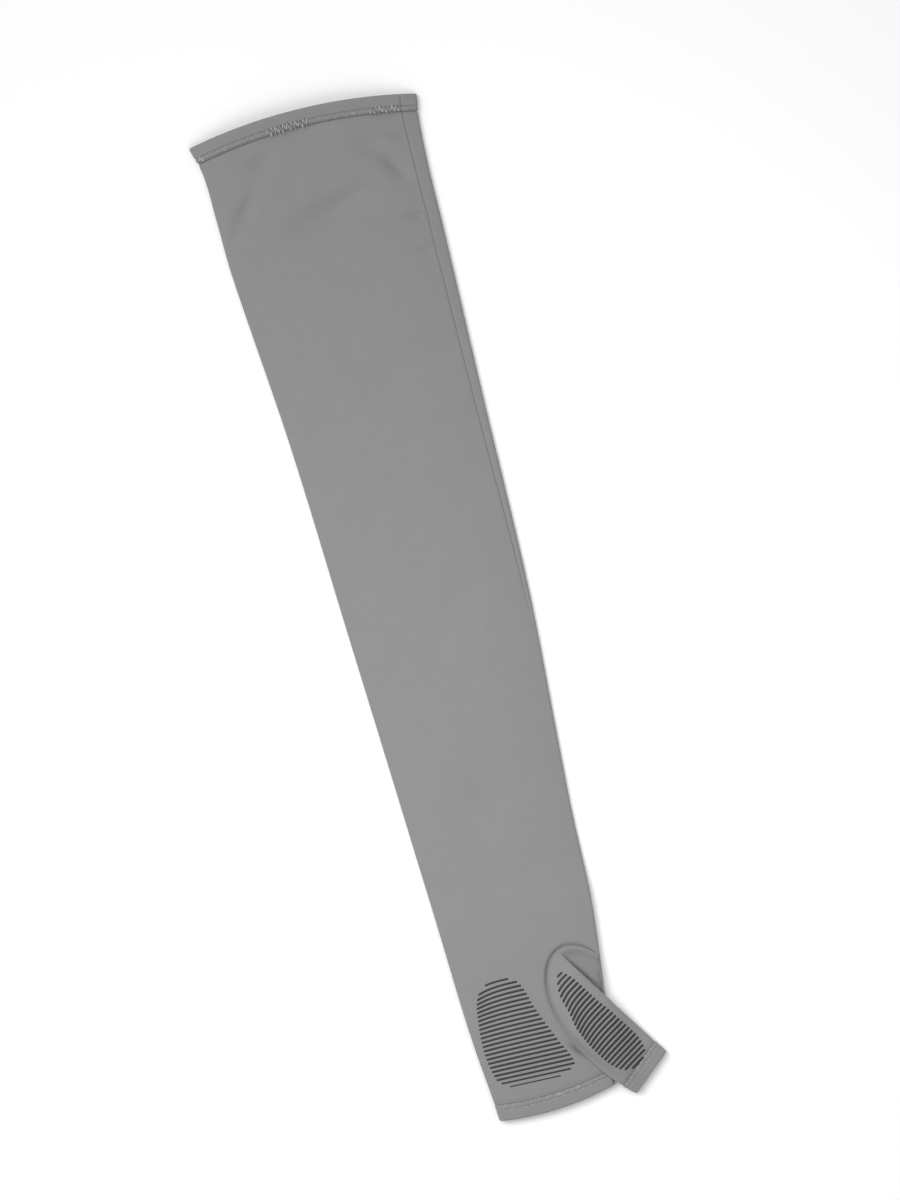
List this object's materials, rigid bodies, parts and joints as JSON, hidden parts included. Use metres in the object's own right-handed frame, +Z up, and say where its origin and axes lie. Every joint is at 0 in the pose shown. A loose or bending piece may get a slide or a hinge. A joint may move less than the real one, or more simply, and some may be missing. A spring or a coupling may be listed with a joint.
{
  "type": "cooling arm sleeve",
  "caption": "Knit arm sleeve lying flat, palm up, with a sewn-in thumb, a hemmed hand cover on the back and rubber grip stripes on palm and thumb.",
  "frame": {"origin": "on the surface that the sleeve lies on, below the middle of its box", "axes": "+Y from the fingers to the upper arm, +X towards the thumb, +Z up out of the palm side"},
  "size_m": [0.139, 0.6114, 0.0137],
  "materials": {
    "knit": "matte jersey knit",
    "grip": "printed, matte"
  },
  "bodies": {
    "root": {"sleeve_tube": "knit", "upper_hem": "knit", "cuff_hem": "knit", "hand_cover": "knit", "hand_cover_hem": "knit", "thumb_tube": "knit", "thumb_hem": "knit", "palm_grip_01": "grip", "palm_grip_02": "grip", "palm_grip_03": "grip", "palm_grip_04": "grip", "palm_grip_05": "grip", "palm_grip_06": "grip", "palm_grip_07": "grip", "palm_grip_08": "grip", "palm_grip_09": "grip", "palm_grip_10": "grip", "palm_grip_11": "grip", "palm_grip_12": "grip", "palm_grip_13": "grip", "palm_grip_14": "grip", "palm_grip_15": "grip", "palm_grip_16": "grip", "palm_grip_17": "grip", "palm_grip_18": "grip", "palm_grip_19": "grip", "palm_grip_20": "grip", "palm_grip_21": "grip", "palm_grip_22": "grip", "palm_grip_23": "grip", "palm_grip_24": "grip", "thumb_grip_01": "grip", "thumb_grip_02": "grip", "thumb_grip_03": "grip", "thumb_grip_04": "grip", "thumb_grip_05": "grip", "thumb_grip_06": "grip", "thumb_grip_07": "grip", "thumb_grip_08": "grip", "thumb_grip_09": "grip", "thumb_grip_10": "grip", "thumb_grip_11": "grip", "thumb_grip_12": "grip", "thumb_grip_13": "grip", "thumb_grip_14": "grip", "thumb_grip_15": "grip", "thumb_grip_16": "grip", "thumb_grip_17": "grip", "thumb_grip_18": "grip", "thumb_grip_19": "grip", "thumb_grip_20": "grip", "thumb_grip_21": "grip", "thumb_grip_22": "grip", "thumb_grip_23": "grip", "thumb_grip_24": "grip", "thumb_grip_25": "grip", "thumb_grip_26": "grip", "thumb_grip_27": "grip"}
  },
  "joints": []
}
